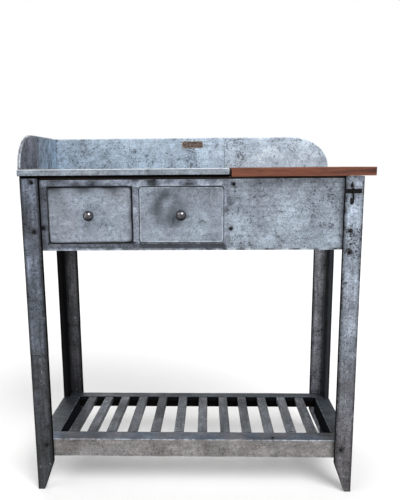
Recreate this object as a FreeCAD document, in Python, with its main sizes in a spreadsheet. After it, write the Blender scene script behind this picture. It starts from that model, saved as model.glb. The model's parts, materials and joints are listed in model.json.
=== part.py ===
"""Zinc-clad potting bench: two drawers, a compost bin under a sliding hardwood lid, a slatted shelf.

Millimetres.  X runs to the right, Y to the back and Z up.  The origin is the middle of the floor
area that the bench covers.  Every driving size is a cell of the sheet named Sizes.
"""
import FreeCAD, Part

import math
import os
import re

SIZES = {
    # whole bench
    "overall_width": 918,
    "overall_depth": 390.2,
    "knob_reach": 19,
    "worktop_height": 904,
    "leg_depth": 370,
    # legs: L-shaped timber in a folded zinc sheet
    "leg_face": 48,
    "back_leg_face": 56,
    "leg_flange": 18,
    "leg_foot": 19,
    "taper_height": 81,
    "sheet_thickness": 1,
    "sheet_floor_gap": 2,
    # worktop
    "end_overhang": 2,
    "front_overhang": 12,
    "worktop_right": 88,
    "lip_height": 17,
    "rebate_depth": 17,
    # hardwood lid
    "lid_overhang": 26,
    "lid_gap": 6,
    "lid_thickness": 22,
    "slide_gap": 1,
    "lid_back_gap": 2,
    "guide_size": 10,
    "keeper_start": 6,
    "keeper_length": 70,
    # apron
    "board_thickness": 17,
    "apron_bottom": 689,
    "apron_sheet_top": 876,
    "partition_thickness": 12,
    # drawers
    "drawer_left_centre": -279,
    "drawer_right_centre": -37,
    "drawer_width": 222,
    "drawer_height": 147,
    "drawer_bottom_height": 710,
    "drawer_gap": 1.5,
    "drawer_proud": 2,
    "drawer_corner": 8,
    "drawer_front_core": 15,
    "drawer_sheet_return": 12,
    "drawer_box_width": 210,
    "drawer_box_length": 280,
    "drawer_side_height": 120,
    "drawer_board": 10,
    "drawer_base": 6,
    "runner_depth": 12,
    "run_gap": 0.2,
    "runner_lap": 2,
    "guide_height": 20,
    # knobs
    "knob_radius": 14.5,
    "knob_neck": 4.5,
    "knob_flange": 8,
    "screw_radius": 2.5,
    "bore_radius": 2.6,
    "screw_bite": 10,
    # compost bin
    "liner_gap": 1,
    "liner_wall": 1.5,
    "liner_top": 855,
    "bin_floor_height": 690,
    "bin_floor_thickness": 10,
    # gallery
    "gallery_rise": 93,
    "gallery_thickness": 14,
    "side_thickness": 9,
    "side_setback": 8,
    "gallery_right": 412,
    "curve_length": 118,
    # shelf
    "shelf_height": 147,
    "rail_height": 54,
    "back_rail_height": 36,
    "rail_width": 48,
    "left_rail_width": 57,
    "back_rail_width": 35,
    "slat_width": 29,
    "slat_thickness": 14,
    "ledger_size": 12,
    # fittings
    "plate_centre": -16,
    "plate_height": 976,
    "plate_length": 66,
    "plate_width": 22,
    "hook_centre": 404,
    "hook_height": 843,
    "hook_plate_length": 44,
    "hook_plate_width": 11,
    "hook_plate_thickness": 3,
    "hook_rod": 2.4,
    "hook_bend": 6,
    "hook_drop": 26,
    "nail_head": 3.4,
    "nail_head_depth": 1.2,
    "nail_shank": 1.2,
    "nail_length": 12,
    "nail_inset": 32,
    "edge_nail_inset": 30,
    "plate_pin_inset": 5,
    "screw_inset": 5,
    "peak_sink": 1.5,
    "partition_inset": 2,
    "tool_margin": 5,
}

# The slats were laid by eye, so their spacing is uneven.
SLAT_CENTRES = (-361, -306, -250, -189, -122, -54, 14, 80, 143, 208, 273, 333)

# Heights of the clout nails in each face of the legs, which were also set out by eye.
FRONT_LEFT_NAILS = (870, 742, 136)
FRONT_RIGHT_NAILS = (858, 740, 684, 127)
OUTER_SIDE_NAILS = (866, 744, 131)
BACK_NAILS = (864, 738, 128)

# Nails in the apron, as (distance from an edge, height).
LEFT_STILE_NAIL = (33, 750)
BIN_FRONT_NAILS = ((12, 862), (5, 746))
SHELF_NAIL = (215, 14)

doc = FreeCAD.newDocument("PottingBench")
sheet = doc.addObject("Spreadsheet::Sheet", "Sizes")
for row, (alias, value) in enumerate(SIZES.items(), start=1):
    sheet.set(f"A{row}", alias)
    sheet.set(f"B{row}", str(value))
    sheet.setAlias(f"B{row}", alias)
doc.recompute()

# Planes of the bench, as expressions of the sheet's cells.
LEFT = "(-overall_width / 2)"
RIGHT = "(overall_width / 2)"
BACK = "(overall_depth / 2 - nail_head_depth)"
LEG_LEFT = f"({LEFT} + end_overhang)"
LEG_RIGHT = f"({RIGHT} - lid_overhang)"
LEG_FRONT = f"({BACK} - leg_depth)"
FRAME_TOP = "(worktop_height - lid_thickness - slide_gap)"
LID_BOTTOM = "(worktop_height - lid_thickness)"
LIP_BOTTOM = "(worktop_height - lip_height)"
WORKTOP_FRONT = f"({LEG_FRONT} - front_overhang)"
GALLERY_FRONT = f"({BACK} - gallery_thickness)"
LID_LEFT = "(worktop_right + lid_gap)"

RAIL_LEFT = f"({LEG_LEFT} + leg_flange)"
RAIL_RIGHT = f"({LEG_RIGHT} - leg_flange)"
APRON_FACE = f"({LEG_FRONT} + leg_flange)"
BOARD_FACE = f"({APRON_FACE} + sheet_thickness)"
INSIDE_FRONT = f"({BOARD_FACE} + board_thickness)"
INSIDE_BACK = f"({BACK} - leg_flange - board_thickness - sheet_thickness)"
INSIDE_LEFT = f"({RAIL_LEFT} + board_thickness + sheet_thickness)"
INSIDE_RIGHT = f"({RAIL_RIGHT} - board_thickness - sheet_thickness)"
PARTITION_RIGHT = f"({LID_LEFT} - partition_inset)"
PARTITION_LEFT = f"({PARTITION_RIGHT} - partition_thickness)"

DRAWER_TOP = "(drawer_bottom_height + drawer_height)"
OPENING_BOTTOM = "(drawer_bottom_height - drawer_gap)"
OPENING_TOP = f"({DRAWER_TOP} + drawer_gap)"
DRAWER_FACE = f"({APRON_FACE} - drawer_proud)"
DRAWER_CORE = f"({DRAWER_FACE} + sheet_thickness)"
DRAWER_BACK_OF_FRONT = f"({DRAWER_CORE} + drawer_front_core)"
DRAWER_END = f"({DRAWER_BACK_OF_FRONT} + drawer_box_length)"
RUNNER_TOP = "(drawer_bottom_height - run_gap)"
RUNNER_BOTTOM = f"({RUNNER_TOP} - runner_depth)"

SHELF_INNER_LEFT = f"({LEG_LEFT} + left_rail_width)"
SHELF_INNER_RIGHT = f"({LEG_RIGHT} - rail_width)"
SHELF_INNER_FRONT = f"({APRON_FACE} + rail_width)"
SHELF_INNER_BACK = f"({BACK} - leg_flange - back_rail_width)"
SLAT_BOTTOM = "(shelf_height - slat_thickness)"

pieces = []


def sized(text):
    """Point each size word of an expression at its cell."""
    return re.sub(r"\b[a-z]+(?:_[a-z]+)+\b", r"Sizes.\g<0>", text)


def size(name):
    """The value of one cell."""
    return float(sheet.get(name))


def value_of(text):
    """The number that an expression of cells gives, for shapes that are not bound."""
    holder = doc.addObject("App::FeaturePython", "Measure")
    holder.addProperty("App::PropertyFloat", "Amount")
    holder.setExpression("Amount", sized(text))
    holder.recompute()
    amount = holder.Amount
    doc.removeObject(holder.Name)
    return amount


def bind(item, name, text):
    item.setExpression(name, sized(text))


def place(item, x, y, z):
    for axis, text in zip("xyz", (x, y, z)):
        bind(item, f"Placement.Base.{axis}", text)


def box(name, x, y, z):
    """A block between two planes along each axis."""
    item = doc.addObject("Part::Box", name)
    for side, (low, high) in zip(("Length", "Width", "Height"), (x, y, z)):
        bind(item, side, f"({high}) - ({low})")
    place(item, x[0], y[0], z[0])
    return item


def rod(name, radius, length, base, direction):
    """A cylinder from base along direction."""
    item = doc.addObject("Part::Cylinder", name)
    bind(item, "Radius", radius)
    bind(item, "Height", length)
    item.Placement.Rotation = FreeCAD.Rotation(FreeCAD.Vector(0, 0, 1), FreeCAD.Vector(*direction))
    place(item, *base)
    return item


def ball(name, radius, centre):
    item = doc.addObject("Part::Sphere", name)
    bind(item, "Radius", radius)
    place(item, *centre)
    return item


def cut(name, base, tool):
    item = doc.addObject("Part::Cut", name)
    item.Base = base
    item.Tool = tool
    return item


def fuse(name, *parts):
    item = doc.addObject("Part::MultiFuse", name)
    item.Shapes = list(parts)
    return item


def group(name, *parts):
    item = doc.addObject("Part::Compound", name)
    item.Links = list(parts)
    return item


def mirror(name, source, normal, base):
    """The reflection of source in the plane through base."""
    item = doc.addObject("Part::Mirroring", name)
    item.Source = source
    item.Normal = FreeCAD.Vector(*normal)
    for axis, text in zip("xyz", base):
        bind(item, f"Base.{axis}", text)
    return item


def keep(label, item):
    """Make item a sub-part with a name of its own."""
    item.Label = label
    pieces.append(item)
    return item


def rounded_box(name, x, y, z, radius):
    """A block whose four edges along Y are rounded."""
    block = box(name + "_block", x, y, z)
    doc.recompute()
    along = []
    for number, edge in enumerate(block.Shape.Edges, start=1):
        ends = [vertex.Point for vertex in edge.Vertexes]
        if abs((ends[1] - ends[0]).y) > edge.Length / 2:
            along.append((number, radius, radius))
    item = doc.addObject("Part::Fillet", name)
    item.Base = block
    item.Edges = along
    return item


# ---------------------------------------------------------------- nails and screws

def nail(name, point, direction):
    """A clout nail whose head rests on the sheet at point; direction points into the timber."""
    outward = [-part for part in direction]
    head = rod(name + "_head", "nail_head", "nail_head_depth", point, outward)
    shank = rod(name + "_shank", "nail_shank", "nail_length", point, direction)
    return fuse(name, head, shank)


def cladding_nails():
    """Every clout nail that holds the zinc to the timber, as one group."""
    inward = (0, 1, 0)
    left, right = f"{LEG_LEFT} + nail_inset", f"{LEG_RIGHT} - nail_inset"
    spots = [((left, LEG_FRONT, str(height)), inward) for height in FRONT_LEFT_NAILS]
    spots += [((right, LEG_FRONT, str(height)), inward) for height in FRONT_RIGHT_NAILS]
    away, height = LEFT_STILE_NAIL
    spots.append(((f"{RAIL_LEFT} + {away}", APRON_FACE, str(height)), inward))
    for away, height in BIN_FRONT_NAILS:
        spots.append(((f"worktop_right + {away}", APRON_FACE, str(height)), inward))
    x, away = SHELF_NAIL
    spots.append(((str(x), f"{APRON_FACE} + {away}", "shelf_height"), (0, 0, -1)))
    for x, direction in ((LEG_LEFT, (1, 0, 0)), (LEG_RIGHT, (-1, 0, 0))):
        for y in (f"{LEG_FRONT} + edge_nail_inset", f"{BACK} - edge_nail_inset"):
            spots += [((x, y, str(height)), direction) for height in OUTER_SIDE_NAILS]
    for x in (left, right):
        spots += [((x, BACK, str(height)), (0, -1, 0)) for height in BACK_NAILS]
    return group("cladding_nails", *[nail(f"nail_{i}", *spot) for i, spot in enumerate(spots)])


nails = keep("cladding_nails", cladding_nails())


# ---------------------------------------------------------------- legs

def foot_taper(name, inset, face, along_depth):
    """The wedge cut from a flange's inner edge at the foot."""
    item = doc.addObject("Part::Wedge", name)
    outer = f"{face} + tool_margin"
    spans = {
        "Xmin": f"leg_foot - {inset}", "Xmax": outer, "X2min": f"{face} - {inset}", "X2max": outer,
        "Ymin": "0", "Ymax": "taper_height",
        "Zmin": "0", "Zmax": "leg_flange + 2 * sheet_thickness",
        "Z2min": "0", "Z2max": "leg_flange + 2 * sheet_thickness",
    }
    for side, text in spans.items():
        bind(item, side, text)
    upright = FreeCAD.Rotation(FreeCAD.Vector(1, 0, 0), 90)
    if along_depth:
        item.Placement.Rotation = FreeCAD.Rotation(FreeCAD.Vector(0, 0, 1), 90).multiply(upright)
        place(item, f"{LEG_LEFT} - sheet_thickness", LEG_FRONT, "0")
    else:
        item.Placement.Rotation = upright
        place(item, LEG_LEFT, f"{LEG_FRONT} + leg_flange + sheet_thickness", "0")
    return item


def leg_solid(name, inset, bottom, face):
    """An L-shaped leg, inset all round from the outer faces of the sheet."""
    x = (f"{LEG_LEFT} + {inset}", f"{LEG_LEFT} + {face} - {inset}")
    y = (f"{LEG_FRONT} + {inset}", f"{LEG_FRONT} + {face} - {inset}")
    thin_x = (x[0], f"{LEG_LEFT} + leg_flange - {inset}")
    thin_y = (y[0], f"{LEG_FRONT} + leg_flange - {inset}")
    z = (bottom, FRAME_TOP)
    corner = fuse(name + "_corner", box(name + "_front", x, thin_y, z), box(name + "_side", thin_x, y, z))
    tapered = cut(name + "_tapered", corner, foot_taper(name + "_taper_front", inset, face, False))
    return cut(name, tapered, foot_taper(name + "_taper_side", inset, face, True))


MIDDLE_X = f"(({LEG_LEFT} + {LEG_RIGHT}) / 2)"
MIDDLE_Y = f"(({LEG_FRONT} + {BACK}) / 2)"


def legs():
    """The left leg of each end, drawn at the front left corner, and its mirror images."""
    middle = (MIDDLE_X, MIDDLE_Y, "0")
    for end, face in (("front", "leg_face"), ("back", "back_leg_face")):
        timber = leg_solid(end + "_timber", "sheet_thickness", "0", face)
        casing = cut(end + "_casing", leg_solid(end + "_outer", "0", "sheet_floor_gap", face), timber)
        for label, left in ((f"leg_{end}", timber), (f"leg_sheet_{end}", casing)):
            if end == "back":
                left = mirror(label + "_raw_left", left, (0, 1, 0), middle)
            right = mirror(label + "_raw_right", left, (1, 0, 0), middle)
            for side, raw in (("left", left), ("right", right)):
                keep(f"{label}_{side}", cut(f"{label}_{side}", raw, nails))


legs()


# ---------------------------------------------------------------- apron

DRAWERS = {"left": "drawer_left_centre", "right": "drawer_right_centre"}
MIDDLE_OF_DRAWERS = "((drawer_left_centre + drawer_right_centre) / 2)"


def opening_side(centre, sign):
    return f"({centre} {sign} (drawer_width / 2 + drawer_gap))"


def apron():
    rails = (RAIL_LEFT, RAIL_RIGHT)
    depth = (BOARD_FACE, INSIDE_FRONT)
    upright = (OPENING_BOTTOM, OPENING_TOP)
    top_rail = box("top_rail_raw", rails, depth, (OPENING_TOP, FRAME_TOP))
    keep("apron_top_rail", cut("apron_top_rail", top_rail, nails))
    keep("apron_bottom_rail", box("apron_bottom_rail", rails, depth, ("apron_bottom", OPENING_BOTTOM)))
    first_left = opening_side("drawer_left_centre", "-")
    first_right = opening_side("drawer_left_centre", "+")
    second_left = opening_side("drawer_right_centre", "-")
    second_right = opening_side("drawer_right_centre", "+")
    left_stile = box("left_stile_raw", (RAIL_LEFT, first_left), depth, upright)
    keep("left_stile", cut("left_stile", left_stile, nails))
    keep("middle_stile", box("middle_stile", (first_right, second_left), depth, upright))
    bin_front = box("bin_front_raw", (second_right, RAIL_RIGHT), depth, upright)
    keep("bin_front_board", cut("bin_front_board", bin_front, nails))

    face = box("apron_face", rails, (APRON_FACE, BOARD_FACE), ("apron_bottom", "apron_sheet_top"))
    radius = size("drawer_corner") + size("drawer_gap")
    for side, centre in DRAWERS.items():
        span = (opening_side(centre, "-"), opening_side(centre, "+"))
        through = (f"{APRON_FACE} - tool_margin", f"{BOARD_FACE} + tool_margin")
        hole = rounded_box(f"opening_{side}", span, through, upright, radius)
        face = cut(f"apron_face_{side}", face, hole)
    keep("apron_sheet", cut("apron_sheet", face, nails))

    between = (INSIDE_FRONT, INSIDE_BACK)
    tall = ("apron_bottom", FRAME_TOP)
    keep("apron_left", box("apron_left", (RAIL_LEFT, INSIDE_LEFT), between, tall))
    keep("apron_right", box("apron_right", (INSIDE_RIGHT, RAIL_RIGHT), between, tall))
    keep("apron_back", box("apron_back", rails, (INSIDE_BACK, f"{BACK} - leg_flange"), tall))


apron()


# ---------------------------------------------------------------- inside the apron

def carcass():
    between = (INSIDE_FRONT, INSIDE_BACK)
    divider = (f"({MIDDLE_OF_DRAWERS} - partition_thickness / 2)",
               f"({MIDDLE_OF_DRAWERS} + partition_thickness / 2)")
    keep("drawer_divider", box("drawer_divider", divider, between, (RUNNER_BOTTOM, FRAME_TOP)))
    partition = (PARTITION_LEFT, PARTITION_RIGHT)
    keep("bin_partition", box("bin_partition", partition, between, ("apron_bottom", FRAME_TOP)))

    runners = []
    walls = {"left": (INSIDE_LEFT, divider[0]), "right": (divider[1], PARTITION_LEFT)}
    for side, centre in DRAWERS.items():
        near = f"({centre} - drawer_box_width / 2 + drawer_board + runner_lap)"
        far = f"({centre} + drawer_box_width / 2 - drawer_board - runner_lap)"
        spans = ((walls[side][0], near), (far, walls[side][1]))
        for number, span in enumerate(spans):
            runners.append(box(f"runner_{side}_{number}", span, between, (RUNNER_BOTTOM, RUNNER_TOP)))
    guide = (INSIDE_LEFT, "(drawer_left_centre - drawer_box_width / 2 - runner_lap)")
    runners.append(box("runner_guide", guide, between, (RUNNER_TOP, f"{RUNNER_TOP} + guide_height")))
    keep("drawer_runners", group("drawer_runners", *runners))

    bin_width = (PARTITION_RIGHT, INSIDE_RIGHT)
    floor_top = "(bin_floor_height + bin_floor_thickness)"
    keep("bin_floor", box("bin_floor", bin_width, between, ("bin_floor_height", floor_top)))
    outer_x = (f"{PARTITION_RIGHT} + liner_gap", f"{INSIDE_RIGHT} - liner_gap")
    outer_y = (f"{INSIDE_FRONT} + liner_gap", f"{INSIDE_BACK} - liner_gap")
    inner_x = (f"{outer_x[0]} + liner_wall", f"{outer_x[1]} - liner_wall")
    inner_y = (f"{outer_y[0]} + liner_wall", f"{outer_y[1]} - liner_wall")
    outer = box("liner_outer", outer_x, outer_y, (floor_top, "liner_top"))
    inner = box("liner_inner", inner_x, inner_y, (f"{floor_top} + liner_wall", "liner_top + tool_margin"))
    keep("bin_liner", cut("bin_liner", outer, inner))

    height = (f"{FRAME_TOP} - guide_size", FRAME_TOP)
    front = box("lid_guide_front", bin_width, (INSIDE_FRONT, f"{INSIDE_FRONT} + guide_size"), height)
    back = box("lid_guide_back", bin_width, (f"{INSIDE_BACK} - guide_size", INSIDE_BACK), height)
    keep("lid_guides", group("lid_guides", front, back))


carcass()


# ---------------------------------------------------------------- worktop and gallery

def worktop():
    board_x = (f"{LEFT} + sheet_thickness", "worktop_right - sheet_thickness")
    board_y = (f"{WORKTOP_FRONT} + sheet_thickness", GALLERY_FRONT)
    board = box("worktop_block", board_x, board_y, (FRAME_TOP, "worktop_height - sheet_thickness"))
    rebate_y = (f"{board_y[0]} - tool_margin", f"{board_y[0]} + rebate_depth")
    rebate_z = (f"{FRAME_TOP} - tool_margin", LIP_BOTTOM)
    rebate = box("worktop_rebate", (LEFT, "worktop_right"), rebate_y, rebate_z)
    core = keep("worktop_board", cut("worktop_board", board, rebate))
    outer = box("worktop_outer", (LEFT, "worktop_right"), (WORKTOP_FRONT, GALLERY_FRONT),
                (LIP_BOTTOM, "worktop_height"))
    keep("worktop_sheet", cut("worktop_sheet", outer, core))


def gallery_shape(length, below, rise, curve, thickness):
    """A board along X whose far top corner is a quarter of an ellipse.

    Its face is in the XZ plane, from X = 0 to length, and it is thick along Y.
    """
    start = FreeCAD.Vector(length - curve, 0, rise)
    end = FreeCAD.Vector(length, 0, 0)
    centre = FreeCAD.Vector(length - curve, 0, 0)
    if curve > rise:
        ellipse = Part.Ellipse(end, start, centre)
    else:
        ellipse = Part.Ellipse(start, end, centre)
    bends = sorted((ellipse.parameter(start), ellipse.parameter(end)))
    if bends[1] - bends[0] > math.pi:
        bends = [bends[1], bends[0] + 2 * math.pi]
    arc = Part.ArcOfEllipse(ellipse, *bends).toShape()
    corners = [end, FreeCAD.Vector(length, 0, -below), FreeCAD.Vector(0, 0, -below),
               FreeCAD.Vector(0, 0, rise), start]
    lines = [Part.LineSegment(a, b).toShape() for a, b in zip(corners, corners[1:]) if a != b]
    wire = Part.Wire(Part.__sortEdges__([arc] + lines))
    return Part.Face(wire).extrude(FreeCAD.Vector(0, thickness, 0))


def gallery_board(name, length, below, thickness, placement):
    """The timber of a gallery board, and the zinc that is folded over it."""
    skin = size("sheet_thickness")
    rise = size("gallery_rise")
    curve = size("curve_length")
    core = doc.addObject("Part::Feature", name + "_board")
    core.Shape = gallery_shape(length - 2 * skin, below, rise - skin, curve - skin, thickness - 2 * skin)
    core.Placement = placement.multiply(FreeCAD.Placement(FreeCAD.Vector(skin, skin, 0), FreeCAD.Rotation()))
    outer = doc.addObject("Part::Feature", name + "_outer")
    outer.Shape = gallery_shape(length, below, rise, curve, thickness)
    outer.Placement = placement
    keep(name + "_board", core)
    keep(name + "_sheet", cut(name + "_sheet", outer, core))


def gallery():
    left, back = value_of(LEFT), value_of(BACK)
    worktop_height, thickness = size("worktop_height"), size("gallery_thickness")
    below = worktop_height - value_of(FRAME_TOP)
    back_place = FreeCAD.Placement(FreeCAD.Vector(left, back - thickness, worktop_height), FreeCAD.Rotation())
    gallery_board("gallery_back", size("gallery_right") - left, below, thickness, back_place)

    side = size("side_thickness")
    front = value_of(WORKTOP_FRONT) + size("side_setback")
    turned = FreeCAD.Rotation(FreeCAD.Vector(0, 0, 1), -90)
    side_place = FreeCAD.Placement(FreeCAD.Vector(left, back - thickness, worktop_height), turned)
    gallery_board("gallery_side", back - thickness - front, 0, side, side_place)


def name_plate():
    """A plain plate on the back board, held by two pins."""
    front = f"{GALLERY_FRONT} - sheet_thickness"
    x = ("plate_centre - plate_length / 2", "plate_centre + plate_length / 2")
    z = ("plate_height - plate_width / 2", "plate_height + plate_width / 2")
    keep("name_plate", box("name_plate", x, (front, GALLERY_FRONT), z))
    pins = []
    for sign in "-+":
        point = (f"plate_centre {sign} (plate_length / 2 - plate_pin_inset)", front, "plate_height")
        pins.append(rod(f"plate_pin_{len(pins)}", "nail_shank", "nail_shank", point, (0, -1, 0)))
    keep("name_plate_pins", group("name_plate_pins", *pins))


worktop()
gallery()
name_plate()


# ---------------------------------------------------------------- shelf

def shelf():
    width = (RAIL_LEFT, RAIL_RIGHT)
    height = ("shelf_height - rail_height", "shelf_height")
    front = box("shelf_front_raw", width, (APRON_FACE, SHELF_INNER_FRONT), height)
    keep("shelf_rail_front", cut("shelf_rail_front", front, nails))
    back_height = ("shelf_height - back_rail_height", "shelf_height")
    back = box("shelf_rail_back", width, (SHELF_INNER_BACK, f"{BACK} - leg_flange"), back_height)
    keep("shelf_rail_back", back)

    # The side rails run between the legs, flush with their outer faces, and are notched round the others.
    cross_rails = group("shelf_cross_rails", front, back)
    clear = (f"{LEG_FRONT} + leg_face", f"{BACK} - back_leg_face")
    for side, span in (("left", (LEG_LEFT, SHELF_INNER_LEFT)), ("right", (SHELF_INNER_RIGHT, LEG_RIGHT))):
        raw = box(f"shelf_{side}_raw", span, clear, height)
        keep(f"shelf_rail_{side}", cut(f"shelf_rail_{side}", raw, cross_rails))

    between = (SHELF_INNER_FRONT, SHELF_INNER_BACK)
    inner = (SHELF_INNER_LEFT, SHELF_INNER_RIGHT)
    ledger = (f"{SLAT_BOTTOM} - ledger_size", SLAT_BOTTOM)
    front_depth = (SHELF_INNER_FRONT, f"{SHELF_INNER_FRONT} + ledger_size")
    back_depth = (f"{SHELF_INNER_BACK} - ledger_size", SHELF_INNER_BACK)
    front_ledger = box("ledger_front", inner, front_depth, ledger)
    back_ledger = box("ledger_back", inner, back_depth, ledger)
    keep("shelf_ledgers", group("shelf_ledgers", front_ledger, back_ledger))

    slats = []
    for number, centre in enumerate(SLAT_CENTRES, start=1):
        x = (f"{centre} - slat_width / 2", f"{centre} + slat_width / 2")
        slats.append(box(f"slat_{number}", x, between, (SLAT_BOTTOM, "shelf_height")))
    keep("shelf_slats", group("shelf_slats", *slats))


shelf()


# ---------------------------------------------------------------- tool hook

CURL_ANGLE = math.radians(40)
CURL = FreeCAD.Vector(-math.sin(CURL_ANGLE), -math.cos(CURL_ANGLE), 0)


def tool_hook():
    """A forged strap with a small peak and a J-shaped hook below it, on the right front leg."""
    face = LEG_FRONT
    strap_front = f"({face} - hook_plate_thickness)"
    x = ("hook_centre - hook_plate_length / 2", "hook_centre + hook_plate_length / 2")
    z = ("hook_height - hook_plate_width / 2", "hook_height + hook_plate_width / 2")
    strap = box("hook_strap", x, (strap_front, face), z)
    peak = doc.addObject("Part::Prism", "hook_peak")
    peak.Polygon = 3
    bind(peak, "Circumradius", "hook_plate_width / 2")
    bind(peak, "Height", "hook_plate_thickness")
    axis, up = FreeCAD.Vector(0, -1, 0), FreeCAD.Vector(0, 0, 1)
    peak.Placement.Rotation = FreeCAD.Rotation(up, up.cross(axis) * -1, axis, "ZXY")
    place(peak, "hook_centre", face, f"{z[1]} - peak_sink")

    stem_y = f"({strap_front} - hook_rod / 2)"
    bend_z = "(hook_height - hook_drop)"
    stem = rod("hook_stem", "hook_rod", "hook_drop", ("hook_centre", stem_y, bend_z), (0, 0, 1))
    bend = doc.addObject("Part::Torus", "hook_bend")
    bind(bend, "Radius1", "hook_bend")
    bind(bend, "Radius2", "hook_rod")
    bend.Angle3 = 180
    down = FreeCAD.Vector(0, 0, -1)
    back = CURL * -1
    bend.Placement.Rotation = FreeCAD.Rotation(back, down, back.cross(down), "XYZ")
    place(bend, f"hook_centre + hook_bend * {CURL.x}", f"{stem_y} + hook_bend * {CURL.y}", bend_z)
    tip = (f"hook_centre + 2 * hook_bend * {CURL.x}", f"{stem_y} + 2 * hook_bend * {CURL.y}")
    prong = rod("hook_prong", "hook_rod", "hook_bend", (*tip, bend_z), (0, 0, 1))
    end = ball("hook_tip", "hook_rod * 1.2", (*tip, f"{bend_z} + hook_bend"))
    body = fuse("hook_body", strap, peak, stem, bend, prong, end)

    screws = []
    bores = []
    for sign in "-+":
        spot = f"hook_centre {sign} (hook_plate_length / 2 - screw_inset)"
        at_face = (spot, strap_front, "hook_height")
        head = rod(f"hook_screw_head_{len(screws)}", "nail_head", "nail_head_depth", at_face, (0, -1, 0))
        shank = rod(f"hook_screw_shank_{len(screws)}", "nail_shank", "nail_length", at_face, (0, 1, 0))
        bores.append(shank)
        screws.append(fuse(f"hook_screw_{len(screws)}", head, shank))
    keep("tool_hook", cut("tool_hook", body, group("hook_bores", *bores)))
    screws = keep("hook_screws", group("hook_screws", *screws))
    for label in ("leg_front_right", "leg_sheet_front_right"):
        old = next(item for item in pieces if item.Label == label)
        pieces.remove(old)
        old.Label = label + "_unbored"
        keep(label, cut(label + "_bored", old, screws))


tool_hook()


# ---------------------------------------------------------------- drawers

def knob(side, centre):
    """A turned ball knob, and the machine screw that holds it through the drawer front."""
    height = "(drawer_bottom_height + drawer_height / 2)"
    reach = f"({DRAWER_FACE} - ({LEG_FRONT} - knob_reach))"
    middle = f"({DRAWER_FACE} - {reach} + knob_radius)"
    forward = (0, -1, 0)
    at_face = (centre, DRAWER_FACE, height)
    flange = rod(f"{side}_knob_flange", "knob_flange", "screw_radius", at_face, forward)
    neck = rod(f"{side}_knob_neck", "knob_neck", f"{reach} - knob_radius", at_face, forward)
    head = ball(f"{side}_knob_ball", "knob_radius", (centre, middle, height))
    inner = (centre, DRAWER_BACK_OF_FRONT, height)
    shank_length = f"({DRAWER_BACK_OF_FRONT} - {DRAWER_FACE} + screw_bite)"
    bore = rod(f"{side}_knob_bore", "bore_radius", f"{shank_length} + 0.5", inner, forward)
    turned = fuse(f"{side}_knob_turned", flange, neck, head)
    keep(f"{side}_knob", cut(f"{side}_knob", turned, bore))
    shank = rod(f"{side}_screw_shank", "screw_radius", shank_length, inner, forward)
    head = rod(f"{side}_screw_head", "knob_neck", "screw_radius", inner, (0, 1, 0))
    keep(f"{side}_knob_screw", fuse(f"{side}_knob_screw", shank, head))
    return bore


def drawer(side, centre):
    half = "drawer_width / 2"
    skin = "sheet_thickness"
    bore = knob(side, centre)
    low, high = "drawer_bottom_height", DRAWER_TOP
    sheet_end = f"{DRAWER_FACE} + drawer_sheet_return"
    outer = rounded_box(f"{side}_front_outer", (f"{centre} - {half}", f"{centre} + {half}"),
                        (DRAWER_FACE, sheet_end), (low, high), size("drawer_corner"))
    core = rounded_box(f"{side}_front_core", (f"{centre} - {half} + {skin}", f"{centre} + {half} - {skin}"),
                       (DRAWER_CORE, DRAWER_BACK_OF_FRONT), (f"{low} + {skin}", f"{high} - {skin}"),
                       size("drawer_corner") - size("sheet_thickness"))
    keep(f"{side}_drawer_front", cut(f"{side}_drawer_front", core, bore))
    tray = cut(f"{side}_front_tray", outer, core)
    keep(f"{side}_drawer_sheet", cut(f"{side}_drawer_sheet", tray, bore))

    edge = "drawer_box_width / 2"
    lengthways = (DRAWER_BACK_OF_FRONT, DRAWER_END)
    tall = (low, f"{low} + drawer_side_height")
    left = (f"{centre} - {edge}", f"{centre} - {edge} + drawer_board")
    right = (f"{centre} + {edge} - drawer_board", f"{centre} + {edge}")
    keep(f"{side}_drawer_left_side", box(f"{side}_side_l", left, lengthways, tall))
    keep(f"{side}_drawer_right_side", box(f"{side}_side_r", right, lengthways, tall))
    across = (left[1], right[0])
    base_top = f"{low} + drawer_base"
    keep(f"{side}_drawer_bottom", box(f"{side}_base", across, lengthways, (low, base_top)))
    back = (f"{DRAWER_END} - drawer_board", DRAWER_END)
    keep(f"{side}_drawer_back", box(f"{side}_back", across, back, (base_top, tall[1])))


for side, centre in DRAWERS.items():
    drawer(side, centre)


# ---------------------------------------------------------------- sliding lid

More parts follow.
